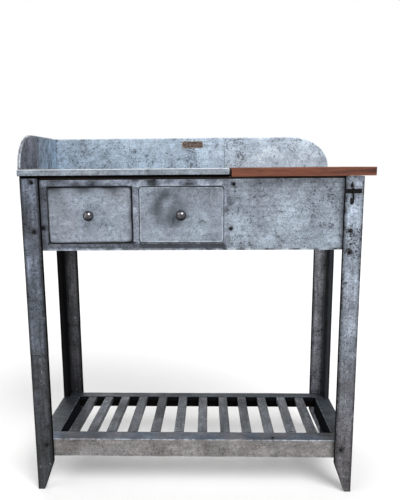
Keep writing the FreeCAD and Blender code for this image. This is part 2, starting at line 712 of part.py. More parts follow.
def lid():
    """The hardwood board, and two keepers that hook under the lid guides."""
    board = box("lid_raw", (LID_LEFT, RIGHT), (WORKTOP_FRONT, f"{GALLERY_FRONT} - lid_back_gap"),
                (LID_BOTTOM, "worktop_height"))
    gap = "slide_gap"
    x = (f"{LID_LEFT} + keeper_start", f"{LID_LEFT} + keeper_start + keeper_length")
    lip_top = f"({FRAME_TOP} - guide_size - {gap})"
    lip_bottom = f"({lip_top} - guide_size)"
    keepers = []
    screws = []
    for end, wall, sign in (("front", INSIDE_FRONT, "+"), ("back", INSIDE_BACK, "-")):
        def reach(distance, wall=wall, sign=sign):
            return f"({wall} {sign} ({distance}))"
        post = [reach(f"guide_size + {gap}"), reach(f"2 * guide_size + {gap}")]
        lip = [reach(gap), post[1]]
        if sign == "-":
            post.reverse()
            lip.reverse()
        upright = box(f"keeper_{end}_post", x, tuple(post), (lip_bottom, LID_BOTTOM))
        tongue = box(f"keeper_{end}_lip", x, tuple(lip), (lip_bottom, lip_top))
        keepers.append(fuse(f"keeper_{end}", upright, tongue))
        for share in ("0.2", "0.8"):
            spot = (f"{x[0]} + keeper_length * {share}", reach(f"1.5 * guide_size + {gap}"), lip_bottom)
            name = f"lid_screw_{end}_{share[-1]}"
            head = rod(name + "_head", "nail_head", "nail_head_depth", spot, (0, 0, -1))
            length = f"{LID_BOTTOM} - {lip_bottom} + nail_length"
            screws.append(fuse(name, head, rod(name + "_shank", "nail_shank", length, spot, (0, 0, 1))))
    fixings = keep("lid_screws", group("lid_screws", *screws))
    keep("lid_keepers", cut("lid_keepers", group("lid_keepers_raw", *keepers), fixings))
    keep("lid_board", cut("lid_board", board, fixings))


lid()


# ---------------------------------------------------------------- check and write

doc.recompute()
for item in doc.Objects:
    if {"Invalid", "Error"} & set(item.State):
        raise RuntimeError(f"{item.Label} failed: {item.State}")
os.makedirs("parts", exist_ok=True)
for item in pieces:
    if item.Shape.isNull() or not item.Shape.isValid():
        raise RuntimeError(f"{item.Label} has no valid shape")
    item.Shape.exportStep(f"parts/{item.Label}.step")
    print(f"{item.Label:26s} {len(item.Shape.Solids):3d} solids {item.Shape.Volume / 1000:9.2f} cm3")
print(len(pieces), "nodes")
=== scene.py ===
"""Looks of the zinc-clad potting bench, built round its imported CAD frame.  Metres, in the CAD frame."""

import json
import math

import bmesh
import bpy
from mathutils import Matrix, Vector, geometry, noise

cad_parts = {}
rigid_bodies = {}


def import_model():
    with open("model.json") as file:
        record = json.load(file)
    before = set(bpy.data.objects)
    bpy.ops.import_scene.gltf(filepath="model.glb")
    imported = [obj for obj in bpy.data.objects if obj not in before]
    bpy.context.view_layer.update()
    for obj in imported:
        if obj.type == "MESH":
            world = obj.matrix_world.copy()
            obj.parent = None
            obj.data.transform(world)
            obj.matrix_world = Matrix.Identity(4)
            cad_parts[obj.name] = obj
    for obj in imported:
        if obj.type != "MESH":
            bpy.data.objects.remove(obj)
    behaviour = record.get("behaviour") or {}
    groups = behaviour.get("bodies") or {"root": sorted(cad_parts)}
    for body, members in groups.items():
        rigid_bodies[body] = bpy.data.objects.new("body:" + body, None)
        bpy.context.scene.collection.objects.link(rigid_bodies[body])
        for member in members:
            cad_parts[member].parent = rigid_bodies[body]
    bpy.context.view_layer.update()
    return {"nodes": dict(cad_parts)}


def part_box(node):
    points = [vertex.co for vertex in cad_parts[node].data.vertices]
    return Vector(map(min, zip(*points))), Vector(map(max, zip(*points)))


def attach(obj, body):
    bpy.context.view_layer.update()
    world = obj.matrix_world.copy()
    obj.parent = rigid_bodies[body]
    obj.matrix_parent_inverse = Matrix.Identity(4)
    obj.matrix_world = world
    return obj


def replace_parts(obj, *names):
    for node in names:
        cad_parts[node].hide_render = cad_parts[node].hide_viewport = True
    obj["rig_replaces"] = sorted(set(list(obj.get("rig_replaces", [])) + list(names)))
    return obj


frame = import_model()

X, Y, Z = 0, 1, 2
# Thickness of the zinc.
SHEET = 0.001
# The tone of places in deep shade, on a scale where 0 is the plain look.
IN_SHADE = -0.95
# Tells delaunay_2d_cdt to return the triangles inside the outline; those in its holes are left out later.
INSIDE_OUTLINE = 2
# Tangent of a quarter of a right angle, which puts a cut half-way up each half of a rounded edge.
HALF_CORNER = math.tan(math.pi / 8)


# ---------------------------------------------------------------- materials

def linear(red, green, blue):
    """A colour given as 0 to 255 display values."""
    values = [c / 255 for c in (red, green, blue)]
    return [c / 12.92 if c <= 0.04045 else ((c + 0.055) / 1.055) ** 2.4 for c in values] + [1]


class Shader:
    """A material and short ways to add its nodes."""

    def __init__(self, name, metallic, gloss=0.5):
        self.material = bpy.data.materials.new(name)
        self.material.use_nodes = True
        self.tree = self.material.node_tree
        self.surface = self.tree.nodes["Principled BSDF"]
        self.surface.inputs["Metallic"].default_value = metallic
        self.surface.inputs["Specular IOR Level"].default_value = gloss
        self.place = self.add("TexCoord", output="Object")

    def put(self, socket, value):
        if isinstance(value, bpy.types.NodeSocket):
            self.tree.links.new(value, socket)
        else:
            socket.default_value = value

    def add(self, kind, inputs=None, output=0, **settings):
        node = self.tree.nodes.new("ShaderNode" + kind)
        for name, value in settings.items():
            setattr(node, name, value)
        for name, value in (inputs or {}).items():
            self.put(node.inputs[name], value)
        return node.outputs[output]

    def noise(self, scale, detail=3.0, rough=0.6, twist=0.0, stretch=None, offset=(0, 0, 0)):
        place = self.place
        if stretch or any(offset):
            place = self.add("Mapping", {"Vector": place, "Scale": stretch or (1, 1, 1), "Location": offset})
        return self.add("TexNoise", {"Vector": place, "Scale": scale, "Detail": detail,
                                     "Roughness": rough, "Distortion": twist})

    def span(self, value, low, high, to_low=0.0, to_high=1.0, smooth=False):
        """Map low..high to to_low..to_high and clamp."""
        return self.add("MapRange", {"Value": value, "From Min": low, "From Max": high,
                                     "To Min": to_low, "To Max": to_high},
                        interpolation_type="SMOOTHSTEP" if smooth else "LINEAR")

    def math(self, operation, a, b):
        return self.add("Math", {0: a, 1: b}, operation=operation)

    def blend(self, factor, a, b, mode="MIX"):
        return self.add("Mix", {0: factor, 6: a, 7: b}, output=2, data_type="RGBA", blend_type=mode)

    def attribute(self, name):
        return self.add("Attribute", output="Fac", attribute_name=name)

    def axis(self, number):
        return self.add("SeparateXYZ", {0: self.place}, output=number)

    def bump(self, *layers):
        """Layers of (height, strength, distance in metres), each on top of the one before."""
        normal = None
        for height, strength, distance in layers:
            inputs = {"Height": height, "Strength": strength, "Distance": distance}
            if normal:
                inputs["Normal"] = normal
            normal = self.add("Bump", inputs)
        self.put(self.surface.inputs["Normal"], normal)

    def finish(self, colour, roughness=None):
        self.put(self.surface.inputs["Base Color"], colour)
        if roughness:
            self.put(self.surface.inputs["Roughness"], roughness)
        return self.material


def zinc(name, start, end, axis=Z, between=(0.0, 0.88), contrast=1.0, speckle=1.0, warm=0.3,
         seed=0.0, brush=X, brushing=0.14, edge=(196, 206, 218), wear=(0.0, 0.75), top=None):
    """Aged zinc: a tone that drifts along one axis, clouds, stains, bloom, speckle, brushing and worn edges.

    Edges take the edge colour: in some looks worn zinc, in others painted shade along gaps, in the rest a
    painted highlight. Places with a negative tone, which holds painted shade as well as the zinc's own tone,
    also get more pits, and the darkest lose their shine as painted shade; a positive tone adds bloom. top
    paints the faces that look up darker, as painted shade.
    """
    metallic, gloss = 0.45, 0.5
    s = Shader(name, metallic, gloss)
    # The tone attribute holds the zinc's own tone and the painted shade of gaps, recesses and hidden faces.
    tone_and_painted_shade = s.attribute("tone")
    away = (seed, 2.3 * seed, 1.7 * seed)
    drift = s.noise(5.0, 2, offset=away)
    sway = 0.06 * (between[1] - between[0]) + 0.004
    spot = s.math("ADD", s.axis(axis), s.span(drift, 0.3, 0.7, -sway, sway))
    base = s.blend(s.span(spot, *between, smooth=True), linear(*start), linear(*end))

    clouds = s.noise(13.0, 8, 0.66, 0.4, offset=away)
    tone = s.span(clouds, 0.33, 0.67, 1 - 0.22 * contrast, 1 + 0.25 * contrast)
    patches = s.noise(47.0, 5, 0.7, 0.8, offset=away)
    tone = s.math("MULTIPLY", tone, s.span(patches, 0.3, 0.7, 1 - 0.22 * contrast, 1 + 0.28 * contrast))
    grain = s.noise(150.0, 3, 0.85, 0.3, offset=away)
    tone = s.math("MULTIPLY", tone, s.span(grain, 0.36, 0.64, 1 - 0.4 * speckle, 1 + 0.46 * speckle))
    clusters = s.noise(10.0, 5, 0.7, 0.5, offset=(seed, 0, 5))
    pitting = s.math("ADD", grain, s.span(clusters, 0.3, 0.7, 0.11, -0.13))
    pitting = s.math("SUBTRACT", pitting, s.math("MULTIPLY", tone_and_painted_shade, 0.3))
    pitted = s.span(pitting, 0.55, 0.61, 0, 0.75 * contrast)
    stretch = [130.0, 130.0, 130.0]
    stretch[brush] = 9.0
    brushed = s.noise(1.0, 4, 0.7, stretch=stretch, offset=away)
    tone = s.math("MULTIPLY", tone, s.span(brushed, 0.3, 0.7, 1 - brushing, 1 + brushing))
    for low, high, dark, light in ((-0.95, -0.45, 0.12, 1.0), (-0.5, 0.0, 0.75, 1.0), (0.0, 2.0, 1.0, 3.0)):
        tone = s.math("MULTIPLY", tone, s.span(tone_and_painted_shade, low, high, dark, light))

    stains = s.noise(26.0, 6, 0.72, 1.4, offset=(1 + seed, seed, 0))
    stained = s.span(stains, 0.58, 0.66, 0, 0.6 * contrast, smooth=True)
    bloom = s.noise(34.0, 7, 0.75, 0.6, offset=(seed, 3 + seed, 0))
    bloom = s.math("ADD", bloom, s.math("MULTIPLY", tone_and_painted_shade, 0.14))
    bloomed = s.span(bloom, 0.60, 0.72, 0, 0.45 * contrast, smooth=True)
    hue = s.noise(9.0, 3, offset=(seed, 0, 7))
    # Painted shade: faces that look up take the darker top colour.
    if top:
        upward = s.add("SeparateXYZ", {0: s.add("TexCoord", output="Normal")}, output=Z)
        base = s.blend(s.span(upward, 0.4, 0.8), base, linear(*top))
    earthy = linear(*[c * share for c, share in zip(start, (0.9, 0.82, 0.78))])
    tinted = s.blend(s.span(hue, 0.42, 0.62, 0, warm), base, earthy)
    shaded = s.blend(1.0, tinted, tone, "MULTIPLY")
    shaded = s.blend(stained, shaded, linear(38, 39, 45))
    shaded = s.blend(pitted, shaded, linear(*[0.4 * c for c in start]))
    shaded = s.blend(bloomed, shaded, linear(206, 218, 230))
    # Edges take the edge colour: in some looks worn zinc, in others painted shade along gaps, in the rest a
    # painted highlight.
    worn = s.math("MULTIPLY", s.attribute("edge"), s.span(patches, 0.40, 0.60, *wear))
    shaded = s.blend(worn, shaded, linear(*edge))
    roughness = s.math("ADD", s.span(clouds, 0.3, 0.7, 0.62, 0.44), s.span(grain, 0.3, 0.7, 0.06, -0.05))
    s.bump((clouds, 0.35, 0.0012), (patches, 0.3, 0.0006), (grain, 0.35, 0.00025))
    # Where the tone marks deep painted shade, the shine and the metal are taken away.
    for socket, value in (("Specular IOR Level", gloss), ("Metallic", metallic)):
        s.put(s.surface.inputs[socket], s.span(tone_and_painted_shade, -0.9, -0.3, 0.0, value))
    return s.finish(shaded, roughness)


def wood(name, dark, mid, light, wear=(150, 120, 100), gloss=0.5):
    """Timber with growth bands, pores and fine fibres along X."""
    s = Shader(name, 0.0, gloss)
    bands = s.noise(42.0, 5, 0.6, 0.9, stretch=(0.06, 1, 1))
    fibres = s.noise(420.0, 3, 0.6, stretch=(0.06, 1, 1))
    pores = s.noise(900.0, 2, 0.5, stretch=(0.03, 1, 1))
    slow = s.noise(7.0, 3)
    colour = s.blend(s.span(bands, 0.32, 0.68), linear(*dark), linear(*light))
    colour = s.blend(s.span(slow, 0.35, 0.65, 0.15, 0.6), colour, linear(*mid))
    shade = s.math("MULTIPLY", s.span(fibres, 0.3, 0.7, 0.7, 1.22), s.math("ADD", s.attribute("tone"), 1.0))
    colour = s.blend(1.0, colour, shade, "MULTIPLY")
    colour = s.blend(s.span(pores, 0.58, 0.70, 0, 0.55), colour, linear(*[c * 0.35 for c in dark]))
    worn = s.math("MULTIPLY", s.attribute("edge"), s.span(bands, 0.35, 0.65, 0.0, 0.5))
    colour = s.blend(worn, colour, linear(*wear))
    s.bump((bands, 0.25, 0.0006), (fibres, 0.5, 0.00025), (pores, 0.3, 0.0001))
    return s.finish(colour, s.span(bands, 0.3, 0.7, 0.8, 0.62))


def metal(name, dark, light, roughness, scale, metallic, rust=0.0, painted_underside_shade=0.0, gloss=0.5):
    """A small forged, cast or drawn fitting, mottled and worn bright; its underside is darkened as painted
    shade.
    """
    s = Shader(name, metallic, gloss)
    dent = 0.0004
    mottle = s.noise(scale, 5, 0.7, 0.5)
    fine = s.noise(scale * 7, 3, 0.6)
    colour = s.blend(s.span(mottle, 0.35, 0.65), linear(*dark), linear(*light))
    colour = s.blend(s.span(fine, 0.6, 0.75, 0, rust), colour, linear(84, 58, 44))
    worn = s.math("MULTIPLY", s.attribute("edge"), s.span(mottle, 0.4, 0.6, 0.1, 0.7))
    colour = s.blend(worn, colour, linear(*[min(255, 1.7 * c + 20) for c in light]))
    # Painted shade: the faces that look down are darkened.
    if painted_underside_shade:
        upward = s.add("SeparateXYZ", {0: s.add("TexCoord", output="Normal")}, output=Z)
        colour = s.blend(s.span(upward, 0.3, -0.6, 0, painted_underside_shade), colour, linear(24, 22, 22))
    s.bump((mottle, 0.4, dent), (fine, 0.3, dent / 4))
    return s.finish(colour, s.span(mottle, 0.3, 0.7, roughness[1], roughness[0]))


def galvanised(name):
    """Galvanised steel with its crystal spangle."""
    s = Shader(name, 0.85)
    cells = s.add("TexVoronoi", {"Vector": s.place, "Scale": 75.0}, output="Color")
    level = s.add("SeparateColor", {0: cells})
    dull = s.noise(20.0, 4)
    colour = s.blend(s.span(level, 0, 1), linear(150, 156, 162), linear(200, 205, 210))
    colour = s.blend(s.span(dull, 0.45, 0.65, 0, 0.5), colour, linear(120, 122, 124))
    s.bump((level, 0.08, 0.0004), (dull, 0.3, 0.001))
    return s.finish(colour, s.span(level, 0, 1, 0.34, 0.5))


PANEL, DRAWER, STRIP = (152, 163, 176), (143, 153, 166), (109, 116, 129)
# Edge colours: the first paints the shade of the gaps along edges dark, the second paints a highlight along
# edges.
PAINTED_EDGE_SHADE, GLINT = (12, 12, 14), (226, 235, 242)
ZINC = {
    "apron": zinc("zinc_apron", STRIP, PANEL, X, (0.070, 0.092), 1.1, 1.1, seed=1.1, brushing=0.2),
    "drawer_left": zinc("zinc_drawer_left", DRAWER, DRAWER, contrast=0.8, seed=2.9, edge=PAINTED_EDGE_SHADE,
                        wear=(0.3, 0.9)),
    "drawer_right": zinc("zinc_drawer_right", DRAWER, DRAWER, contrast=0.85, seed=4.2, wear=(0.1, 0.9)),
    "leg_dark": zinc("zinc_leg_dark", (49, 52, 54), (107, 115, 130), contrast=1.25, speckle=1.4, seed=5.5,
                     warm=0.6, brush=Z, brushing=0.5, edge=PAINTED_EDGE_SHADE, wear=(0.6, 1.0)),
    "leg_light": zinc("zinc_leg_light", (92, 91, 95), (164, 176, 192), contrast=1.3, speckle=1.4, seed=6.1,
                      brush=Z, brushing=0.3, edge=PAINTED_EDGE_SHADE, wear=(0.3, 1.0)),
    "leg_back": zinc("zinc_leg_back", (56, 57, 62), (96, 98, 102), contrast=1.3, speckle=1.5, seed=7.7,
                     brush=Z, brushing=0.5, edge=PAINTED_EDGE_SHADE, wear=(0.5, 0.9)),
    "leg_back_right": zinc("zinc_leg_back_right", (124, 128, 138), (140, 142, 149), contrast=1.3,
                           speckle=1.5, seed=6.7, brush=Z, brushing=0.5, edge=PAINTED_EDGE_SHADE, wear=(0.4, 0.8)),
    "worktop": zinc("zinc_worktop", (136, 145, 156), (140, 150, 161), X, (-0.45, 0.1), 0.8, seed=8.4,
                    brushing=0.25, edge=GLINT, wear=(0.5, 0.95)),
    "gallery_back": zinc("zinc_gallery_back", (187, 205, 222), (204, 221, 238), X, (-0.2, 0.15), 1.15, 0.85,
                         seed=9.2, warm=0.15, edge=GLINT),
    "gallery_side": zinc("zinc_gallery_side", (132, 134, 146), (154, 173, 190), Y, (-0.03, -0.005), 1.6,
                         seed=3.3, brush=Z, brushing=0.4, edge=GLINT, warm=0.3),
    "side": zinc("zinc_side", (112, 117, 127), (122, 128, 138), contrast=1.0, seed=10.6),
    # The front rail's top colour paints shade on the faces that look up.
    "rail_front": zinc("zinc_rail_front", (127, 125, 125), (131, 129, 128), X, (-0.4, 0.4), 1.0, warm=0.5,
                       seed=11.8, brushing=0.2, top=(72, 84, 99)),
    "rail": zinc("zinc_rail", (54, 61, 68), (62, 69, 77), X, (-0.4, 0.4), 1.4, 1.5, seed=13.8,
                 wear=(0.0, 0.3)),
    "slat": zinc("zinc_slat", (70, 75, 82), (96, 101, 108), X, (-0.35, 0.33), 1.4, 1.5, seed=12.4, brush=Y,
                 brushing=0.5, edge=PAINTED_EDGE_SHADE, wear=(0.1, 0.7)),
}
LOOKS = {
    "timber": wood("softwood", (112, 88, 66), (140, 113, 86), (164, 138, 108)),
    # Weathered timber, also darkened as painted shade where it shows in gaps and under the lip.
    "timber_weathered_and_shaded": wood("weathered_timber_and_painted_shade", (30, 26, 24), (42, 37, 33), (57, 50, 45), gloss=0.1),
    # Near-black timber: painted shade for the board under the lip and the ledgers under the slats.
    "timber_painted_shade": wood("board_painted_shade", (9, 8, 8), (14, 12, 11), (20, 18, 17), wear=(24, 22, 20), gloss=0.0),
    "hardwood": wood("oiled_hardwood", (62, 28, 17), (108, 57, 35), (136, 78, 52), wear=(158, 102, 76)),
    "forged_iron": metal("blacksmith_iron", (5, 5, 7), (15, 15, 18), (0.5, 0.7), 160, 0.0, 0.1, gloss=0.15),
    "dark_steel": metal("darkened_steel", (8, 8, 10), (20, 20, 23), (0.5, 0.7), 260, 0.2, 0.2, gloss=0.1),
    # The knobs' undersides are darkened as painted shade.
    "pewter": metal("rubbed_pewter", (70, 67, 69), (128, 127, 132), (0.2, 0.34), 110, 0.95, painted_underside_shade=0.95),
    "copper_plate": metal("dull_copper", (56, 44, 42), (158, 138, 128), (0.4, 0.6), 190, 0.7),
    "galvanised_liner": galvanised("galvanised"),
}


# ---------------------------------------------------------------- nails

def nail_spots(node):
    """(surface point, direction into the timber) of every nail in a CAD node."""
    groups = []
    for vertex in frame["nodes"][node].data.vertices:
        group = next((g for g in groups if (g[0] - vertex.co).length < 0.016), None)
        if group is None:
            groups.append([vertex.co.copy()])
        else:
            group.append(vertex.co.copy())
    spots = []
    for group in groups:
        low = Vector([min(p[a] for p in group) for a in range(3)])
        high = Vector([max(p[a] for p in group) for a in range(3)])
        middle = (low + high) / 2
        axis = max(range(3), key=lambda a: high[a] - low[a])
        wide = [p for p in group if math.dist([p[a] for a in range(3) if a != axis],
                                              [middle[a] for a in range(3) if a != axis]) > 0.0025]
        head = sum(p[axis] for p in wide) / len(wide)
        inward = Vector((0, 0, 0))
        inward[axis] = 1.0 if middle[axis] > head else -1.0
        point = middle.copy()
        point[axis] = max(p[axis] for p in wide) if inward[axis] > 0 else min(p[axis] for p in wide)
        spots.append((point, inward))
    return spots


NAILS = nail_spots("cladding_nails")
HOOK_NAILS = nail_spots("hook_screws")


def nails_near(low, high):
    """Places along each axis of the nails that hold the sheet of one block."""
    slack = 0.002
    found = [p for p, _ in NAILS if all(low[a] - slack < p[a] < high[a] + slack for a in range(3))]
    return [[p[a] for p in found] for a in range(3)]


# ---------------------------------------------------------------- mesh helpers

def new_mesh():
    bm = bmesh.new()
    bm.verts.layers.float.new("edge")
    bm.verts.layers.float.new("tone")
    return bm


def mark(bm, verts, edge=None, tone=None):
    for name, value in (("edge", edge), ("tone", tone)):
        if value is not None:
            layer = bm.verts.layers.float[name]
            for vertex in verts:
                vertex[layer] = value


def piece(name, bm, body, replaced, material, modifiers=()):
    """Turn a bmesh into a shown piece that rides on a CAD body."""
    bmesh.ops.recalc_face_normals(bm, faces=bm.faces)
    mesh = bpy.data.meshes.new(name)
    bm.to_mesh(mesh)
    bm.free()
    mesh.shade_smooth()
    mesh.materials.append(material)
    obj = bpy.data.objects.new(name, mesh)
    bpy.context.scene.collection.objects.link(obj)
    for kind, settings in modifiers:
        modifier = obj.modifiers.new(kind.lower(), kind)
        for key, value in settings.items():
            setattr(modifier, key, value)
    obj.modifiers.new("normals", "WEIGHTED_NORMAL")
    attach(obj, body)
    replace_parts(obj, *([replaced] if isinstance(replaced, str) else replaced))
    return obj


def cuts(low, high, radius, step, fine):
    """Coordinates across a block: rounded ends, even steps, and finer ones about each fine place."""
    ends = [e for e in (0, radius * (1 - HALF_CORNER), radius, 3 * radius) if e < 0.45 * (high - low)]
    fixed = sorted([low + e for e in ends] + [high - e for e in ends])
    first, last = low + ends[-1], high - ends[-1]
    count = max(1, round((last - first) / step))
    loose = [first + (last - first) * i / count for i in range(1, count)]
    for place in fine:
        loose += [place + away for away in (-0.009, -0.0055, -0.003, 0, 0.003, 0.0055, 0.009)]
    kept = list(fixed)
    for value in sorted(loose):
        if first < value < last and all(abs(value - other) > 0.0012 for other in kept):
            kept.append(value)
    return sorted(kept)


def block(bm, low, high, radius, step, skip="", tone=0.0, nailed=True):
    """A block with rounded edges and a regular grid of faces; skip lists sides left open, such as 'z+'."""
    fine = nails_near(low, high) if nailed else ((), (), ())
    axes = [cuts(low[a], high[a], radius, step, fine[a]) for a in range(3)]
    last = [len(a) - 1 for a in axes]
    made = {}

    def vertex(index):
        if index not in made:
            point = Vector([axes[a][index[a]] for a in range(3)])
            inner = Vector([min(max(point[a], low[a] + radius), high[a] - radius) for a in range(3)])
            made[index] = bm.verts.new(inner + (point - inner).normalized() * radius)
            near = sum(abs(point[a] - inner[a]) > radius * 0.3 for a in range(3))
            mark(bm, [made[index]], 1.0 if near > 1 else 0.0, tone)
        return made[index]

    for axis in range(3):
        second, third = (axis + 1) % 3, (axis + 2) % 3
        for side in (0, 1):
            if "xyz"[axis] + "-+"[side] in skip:
                continue
            for j in range(last[second]):
                for k in range(last[third]):
                    ring = []
                    for dj, dk in ((0, 0), (1, 0), (1, 1), (0, 1)):
                        index = [0, 0, 0]
                        index[axis] = last[axis] * side
                        index[second] = j + dj
                        index[third] = k + dk
                        ring.append(vertex(tuple(index)))
                    bm.faces.new(ring if side else ring[::-1])
    return list(made.values())


def weather(bm, verts, depth, seed, dimple=0.0007):
    """Push a surface in, never out: slow waves, small dents, and a dimple at each nail."""
    bm.normal_update()
    tone = bm.verts.layers.float["tone"]
    away = Vector((7.31, 3.17, 5.23)) * seed
    moves = []
    for vertex in verts:
        slow = noise.noise(vertex.co * 11 + away)
        quick = noise.noise(vertex.co * 37 + away)
        push = vertex.normal * -depth * max(0.0, 0.45 + 0.55 * slow + 0.35 * quick)
        for point, inward in NAILS:
            gap = (vertex.co - point).length
            if gap < 0.016 and vertex.normal.dot(inward) < -0.7:
                near = math.exp(-(gap / 0.0065) ** 2)
                push += inward * dimple * near
                vertex[tone] = min(vertex[tone], IN_SHADE * near)
        moves.append(push)
    for vertex, push in zip(verts, moves):
        vertex.co += push


def rounded(corners, radius, step, turns=4):
    """A dense closed outline from sharp corners; radius is one value or one for each corner."""
    count = len(corners)
    radii = radius if isinstance(radius, (list, tuple)) else [radius] * count
    points = []
    for i, corner in enumerate(corners):
        here = Vector(corner)
        before = (Vector(corners[i - 1]) - here).normalized()
        after = (Vector(corners[(i + 1) % count]) - here).normalized()
        if radii[i] <= 0:
            points.append(here)
            continue
        half = before.angle(after) / 2
        reach = radii[i] / math.tan(half)
        middle = here + (before + after).normalized() * (radii[i] / math.sin(half))
        start, end = here + before * reach - middle, here + after * reach - middle
        for turn in range(turns + 1):
            points.append(middle + start.slerp(end, turn / turns).normalized() * radii[i])
    dense = []
    for i, point in enumerate(points):
        dense.append(point)
        following = points[(i + 1) % len(points)]
        count = round((following - point).length / step)
        dense += [point.lerp(following, n / count) for n in range(1, count)]
    return dense


def inset(loop, amount):
    """The loop moved to its left by amount, which is inwards for a counter-clockwise one."""
    moved = []
    for i, point in enumerate(loop):
        sides = []
        for a, b in ((loop[i - 1], point), (point, loop[(i + 1) % len(loop)])):
            along = (b - a).normalized()
            sides.append(Vector((-along.y, along.x)))
        moved.append(point + (sides[0] + sides[1]) * (amount / (1 + sides[0].dot(sides[1]))))
    return moved


def inside(point, loop):
    crossed = False
    for i, b in enumerate(loop):
        a = loop[i - 1]
        if (a.y > point.y) != (b.y > point.y):
            if point.x < (b.x - a.x) * (point.y - a.y) / (b.y - a.y) + a.x:
                crossed = not crossed
    return crossed


def rim(radius, thickness, margin=0.002):
    """Profile of a rounded sheet edge: (inset, depth, edge wear) from the front face to the back one."""
    turn = radius * (1 - math.sqrt(0.5))
    front = [(radius + margin, 0, 0), (radius, 0, 0.8), (turn, turn, 1), (0, radius, 1)]
    if thickness > 0.006:
        front.append((0, radius + 0.002, 0.2))
    return front + [(i, thickness - d, w) for i, d, w in reversed(front)]


def plate(bm, outline, profile, place, step, holes=(), lines=((), ())):
    """A sheet cut to outline in a (u, v) plane; place turns (u, v, depth) into a point of the frame.

    Counter-clockwise outline, clockwise holes; lines are places along u and v that get finer faces.
    Returns the verts of the front face and its edge.
    """
    loops = [outline, *holes]
    lows = [min(p[a] for p in outline) for a in (0, 1)]
    highs = [max(p[a] for p in outline) for a in (0, 1)]
    grid = [cuts(lows[a], highs[a], 0.001, step, lines[a]) for a in (0, 1)]
    rings = []
    for shift, depth, wear in profile:
        level = []
        for loop in loops:
            verts = [bm.verts.new(place(p.x, p.y, depth)) for p in inset(loop, shift)]
            mark(bm, verts, wear)
            level.append(verts)
        rings.append(level)
    for upper, lower in zip(rings, rings[1:]):
        for a, b in zip(upper, lower):
            for i in range(len(a)):
                bm.faces.new((a[i - 1], a[i], b[i], b[i - 1]))
    front = []
    for (shift, depth, _), level, is_front in ((profile[0], rings[0], True), (profile[-1], rings[-1], False)):
        bounds = [inset(loop, shift) for loop in loops]
        flat = [p for loop in bounds for p in loop]
        owners = [v for verts in level for v in verts]
        border = list(flat)
        for u in grid[0]:
            for v in grid[1]:
                point = Vector((u, v))
                clear = inside(point, bounds[0]) and not any(inside(point, hole) for hole in bounds[1:])
                if clear and min((point - other).length_squared for other in border) > 0.0016 ** 2:
                    flat.append(point)
                    owners.append(bm.verts.new(place(u, v, depth)))
        edges = []
        start = 0
        for loop in bounds:
            edges += [(start + i, start + (i + 1) % len(loop)) for i in range(len(loop))]
            start += len(loop)
        _, _, triangles, sources, _, _ = geometry.delaunay_2d_cdt(flat, edges, [], INSIDE_OUTLINE, 1e-7)
        for triangle in triangles:
            corners = [sources[i][0] for i in triangle]
            middle = sum((flat[i] for i in corners), Vector((0, 0))) / 3
            if not any(inside(middle, hole) for hole in bounds[1:]):
                bm.faces.new([owners[i] for i in corners])
        if is_front:
            front = owners
    bmesh.ops.holes_fill(bm, edges=[e for e in bm.edges if e.is_boundary], sides=4)
    bmesh.ops.recalc_face_normals(bm, faces=bm.faces)
    for level in rings[1:len(rings) // 2]:
        for verts in level:
            front = front + verts
    return front


def lathe(bm, profile, centre, axis, segments):
    """Turn (radius, distance along axis, wear) points about the axis through centre."""
    turn = Vector((0, 0, 1)).rotation_difference(axis)
    made = []
    rings = []
    for radius, along, wear in profile:
        count = segments if radius > 0 else 1
        ring = []
        for i in range(count):
            angle = 2 * math.pi * i / segments
            local = Vector((radius * math.cos(angle), radius * math.sin(angle), along))
            ring.append(bm.verts.new(centre + turn @ local))
        mark(bm, ring, wear)
        made += ring
        rings.append(ring)
    for a, b in zip(rings, rings[1:]):
        for i in range(segments):
            corners = [a[i % len(a)], a[(i + 1) % len(a)], b[(i + 1) % len(b)], b[i % len(b)]]
            bm.faces.new(list(dict.fromkeys(corners)))
    return made


def tube(bm, path, radius, segments, wear):
    """A round bar along a path, with flat ends."""
    rings = []
    across = None
    for i, point in enumerate(path):
        along = (path[min(i + 1, len(path) - 1)] - path[max(i - 1, 0)]).normalized()
        if across is None:
            across = along.orthogonal().normalized()
        across = (across - along * across.dot(along)).normalized()
        other = along.cross(across)
        ring = []
        for n in range(segments):
            angle = 2 * math.pi * n / segments
            ring.append(bm.verts.new(point + (across * math.cos(angle) + other * math.sin(angle)) * radius))
        mark(bm, ring, wear)
        rings.append(ring)
    for a, b in zip(rings, rings[1:]):
        for n in range(segments):
            bm.faces.new((a[n - 1], a[n], b[n], b[n - 1]))
    bm.faces.new(rings[0])
    bm.faces.new(rings[-1][::-1])


def arc(centre, start, end, count):
    """Points from centre + start to centre + end on a quarter of an ellipse."""
    turns = [math.pi / 2 * i / count for i in range(count + 1)]
    return [centre + start * math.cos(t) + end * math.sin(t) for t in turns]


# ---------------------------------------------------------------- cladding: blocks

CLAD = {
    "apron_left": ("side", 0.0018), "apron_right": ("side", 0.0018), "apron_back": ("side", 0.0018),
    "shelf_rail_front": ("rail_front", 0.0028), "shelf_rail_back": ("rail", 0.0024),
}
for number, (node, (look, radius)) in enumerate(CLAD.items()):
    low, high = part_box(node)
    bm = new_mesh()
    verts = block(bm, low, high, radius, 0.012)
    if node == "shelf_rail_back":
        mark(bm, [v for v in verts if v.co.y < low.y + radius / 2], 0.0, IN_SHADE)
    weather(bm, verts, 0.0009, 3.0 + number)
    piece(node + "_clad", bm, "bench", node, ZINC[look])


